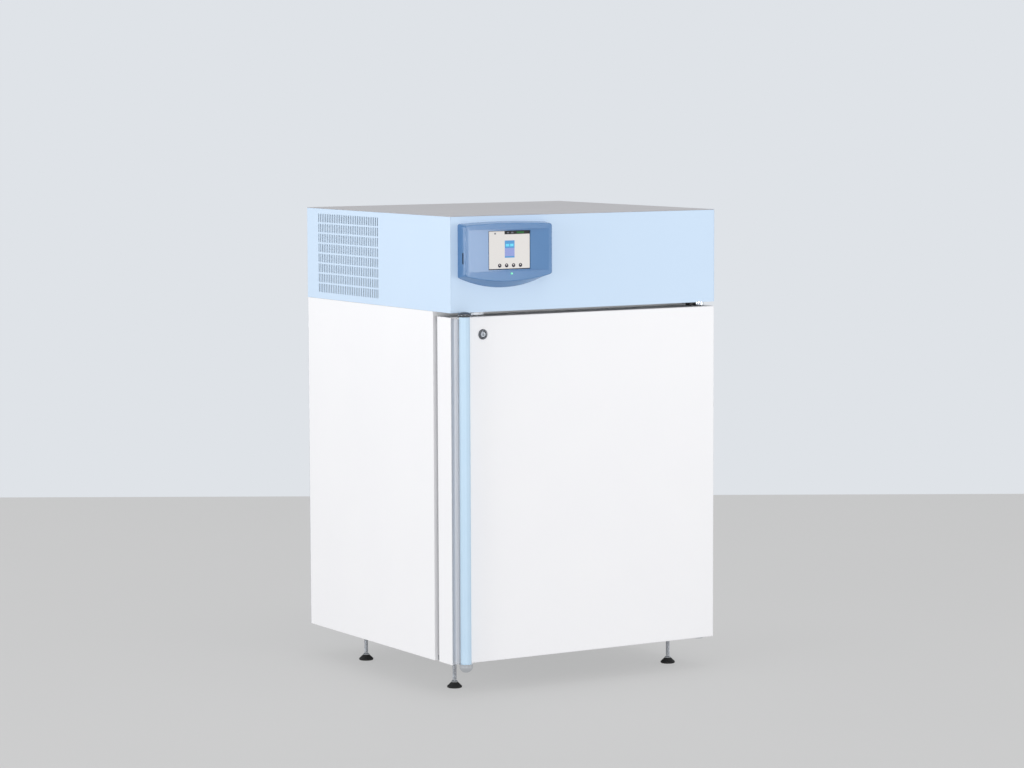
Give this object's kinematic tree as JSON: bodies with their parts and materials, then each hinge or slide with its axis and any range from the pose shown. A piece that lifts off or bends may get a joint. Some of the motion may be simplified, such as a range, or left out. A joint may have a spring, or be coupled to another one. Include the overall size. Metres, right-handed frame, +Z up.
{
  "type": "refrigerated incubator",
  "caption": "Floor-standing refrigerated incubator: insulated cabinet with a side-hinged lockable door, wire shelves, fan-driven air and a machine head with a touch screen.",
  "frame": {"origin": "on the floor, under the middle of the whole object's box", "axes": "+Z up, the door faces -Y, the door's hinges are on the +X side"},
  "size_m": [0.76, 0.768, 1.152],
  "materials": {
    "white_enamel": "satin powder coat on sheet steel",
    "pale_blue_enamel": "satin pale blue powder coat on sheet steel",
    "grey_enamel": "satin grey powder coat",
    "black_enamel": "black enamel on a welded steel can",
    "zinc_sheet": "bright zinc-coated sheet",
    "stainless": "ground stainless sheet and wire",
    "aluminium": "satin anodised",
    "bar_coat": "pale blue lacquer on aluminium tube",
    "chrome": "polished chrome plate",
    "blue_plastic": "satin moulded, blue",
    "grey_plastic": "moulded, fine texture",
    "black_plastic": "moulded, fine texture",
    "board_housing": "housing full of boards and air",
    "gasket": "soft extruded seal",
    "pad_rubber": "matt rubber",
    "foam": "rigid foam, closed cell",
    "screen_glass": "smooth cover glass over a display",
    "lamp_lens": "clear tinted lens"
  },
  "bodies": {
    "cabinet": {"side_panel_left": "white_enamel", "side_panel_right": "white_enamel", "rear_panel": "zinc_sheet", "base_pan": "zinc_sheet", "breaker_frame": "grey_plastic", "cabinet_insulation": "foam", "chamber_liner": "stainless", "air_baffle": "stainless", "circulation_motor": "black_enamel", "heater_element": "stainless", "evaporator": "aluminium", "temperature_probe": "stainless", "shelf_rail_left": "stainless", "shelf_rail_right": "stainless", "wire_shelf_lower": "stainless", "wire_shelf_upper": "stainless", "hinge_bracket_upper": "chrome", "hinge_bracket_lower": "chrome", "door_stop_block": "black_plastic", "lock_strike": "zinc_sheet", "head_floor": "zinc_sheet", "head_panel_front": "pale_blue_enamel", "head_panel_left": "pale_blue_enamel", "head_panel_right": "pale_blue_enamel", "head_panel_rear": "zinc_sheet", "head_panel_top": "grey_enamel", "control_bezel": "blue_plastic", "touch_screen": "screen_glass", "status_lamp": "lamp_lens", "card_slot": "black_plastic", "compressor": "black_enamel", "condenser": "aluminium", "condenser_fan_shroud": "black_plastic", "control_box": "board_housing", "mains_inlet": "black_plastic"},
    "door": {"door_shell": "white_enamel", "door_insulation": "foam", "door_inner_panel": "stainless", "door_gasket": "gasket", "handle_channel": "aluminium", "handle_bar": "bar_coat", "handle_cap_upper": "chrome", "handle_cap_lower": "chrome", "lock_housing": "chrome", "hinge_bush_upper": "black_plastic", "hinge_bush_lower": "black_plastic"},
    "lock": {"lock_cylinder": "chrome", "lock_cam": "zinc_sheet"},
    "circulation_wheel": {"circulation_impeller": "aluminium"},
    "cooling_wheel": {"condenser_fan": "black_plastic"},
    "rocker": {"mains_rocker": "black_plastic"},
    "foot_front_left": {"foot_pad_front_left": "pad_rubber", "foot_stud_front_left": "chrome"},
    "foot_front_right": {"foot_pad_front_right": "pad_rubber", "foot_stud_front_right": "chrome"},
    "foot_rear_left": {"foot_pad_rear_left": "pad_rubber", "foot_stud_rear_left": "chrome"},
    "foot_rear_right": {"foot_pad_rear_right": "pad_rubber", "foot_stud_rear_right": "chrome"}
  },
  "joints": [
    {"name": "door_hinge", "type": "hinge", "parent": "cabinet", "child": "door", "pos_m": [0.353, -0.318, 0.077], "axis": [0, 0, 1], "range_deg": [0, 115]},
    {"name": "lock_turn", "type": "hinge", "parent": "door", "child": "lock", "pos_m": [-0.2915, -0.348, 0.8685], "axis": [0, 1, 0], "range_deg": [-90, 0]},
    {"name": "circulation_fan_spin", "type": "hinge", "parent": "cabinet", "child": "circulation_wheel", "pos_m": [0, 0.2603, 0.646], "axis": [0, 1, 0], "continuous": true},
    {"name": "condenser_fan_spin", "type": "hinge", "parent": "cabinet", "child": "cooling_wheel", "pos_m": [-0.3337, 0.16295, 1.016], "axis": [1, 0, 0], "continuous": true},
    {"name": "mains_rocker_tilt", "type": "hinge", "parent": "cabinet", "child": "rocker", "pos_m": [0.27, 0.3764, 1.062], "axis": [1, 0, 0], "range_deg": [-20, 0]},
    {"name": "foot_turn_front_left", "type": "hinge", "parent": "cabinet", "child": "foot_front_left", "pos_m": [-0.313, -0.242, 0], "axis": [0, 0, 1], "range_deg": [-180, 180]},
    {"name": "foot_turn_front_right", "type": "hinge", "parent": "cabinet", "child": "foot_front_right", "pos_m": [0.313, -0.242, 0], "axis": [0, 0, 1], "range_deg": [-180, 180]},
    {"name": "foot_turn_rear_left", "type": "hinge", "parent": "cabinet", "child": "foot_rear_left", "pos_m": [-0.313, 0.206, 0], "axis": [0, 0, 1], "range_deg": [-180, 180]},
    {"name": "foot_turn_rear_right", "type": "hinge", "parent": "cabinet", "child": "foot_rear_right", "pos_m": [0.313, 0.206, 0], "axis": [0, 0, 1], "range_deg": [-180, 180]}
  ]
}
